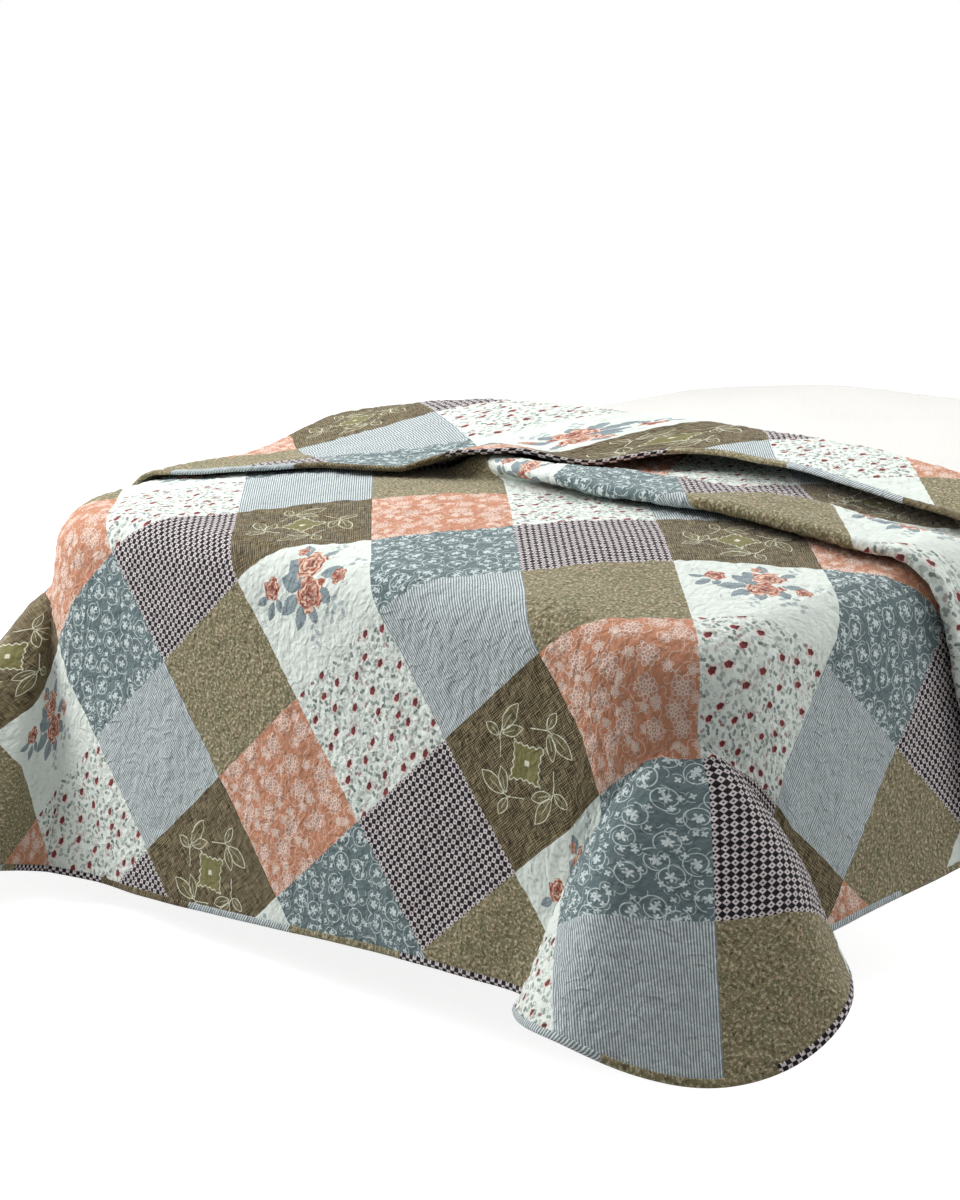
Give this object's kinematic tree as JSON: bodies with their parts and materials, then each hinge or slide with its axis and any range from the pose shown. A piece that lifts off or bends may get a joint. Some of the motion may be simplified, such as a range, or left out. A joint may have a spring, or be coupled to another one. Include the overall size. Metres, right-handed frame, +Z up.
{
  "type": "quilt on a bed",
  "caption": "Patchwork quilt draped over a plain bed, its head end pleated and folded back over itself, with rounded foot corners that fall in flutes.",
  "frame": {"origin": "centre of the bounding box in plan, on the floor", "axes": "+X across the bed, to the right as seen from its foot; +Y from the foot to the head; +Z up"},
  "size_m": [2.0152, 2.3152, 0.7786],
  "materials": {
    "quilt": "quilted patchwork of printed cotton",
    "binding": "doubled strip of printed cotton",
    "mattress": "plain woven cover",
    "bed_base": "plain painted board"
  },
  "bodies": {
    "root": {"quilt": "quilt", "binding": "binding", "mattress": "mattress", "bed_base": "bed_base"}
  },
  "joints": []
}
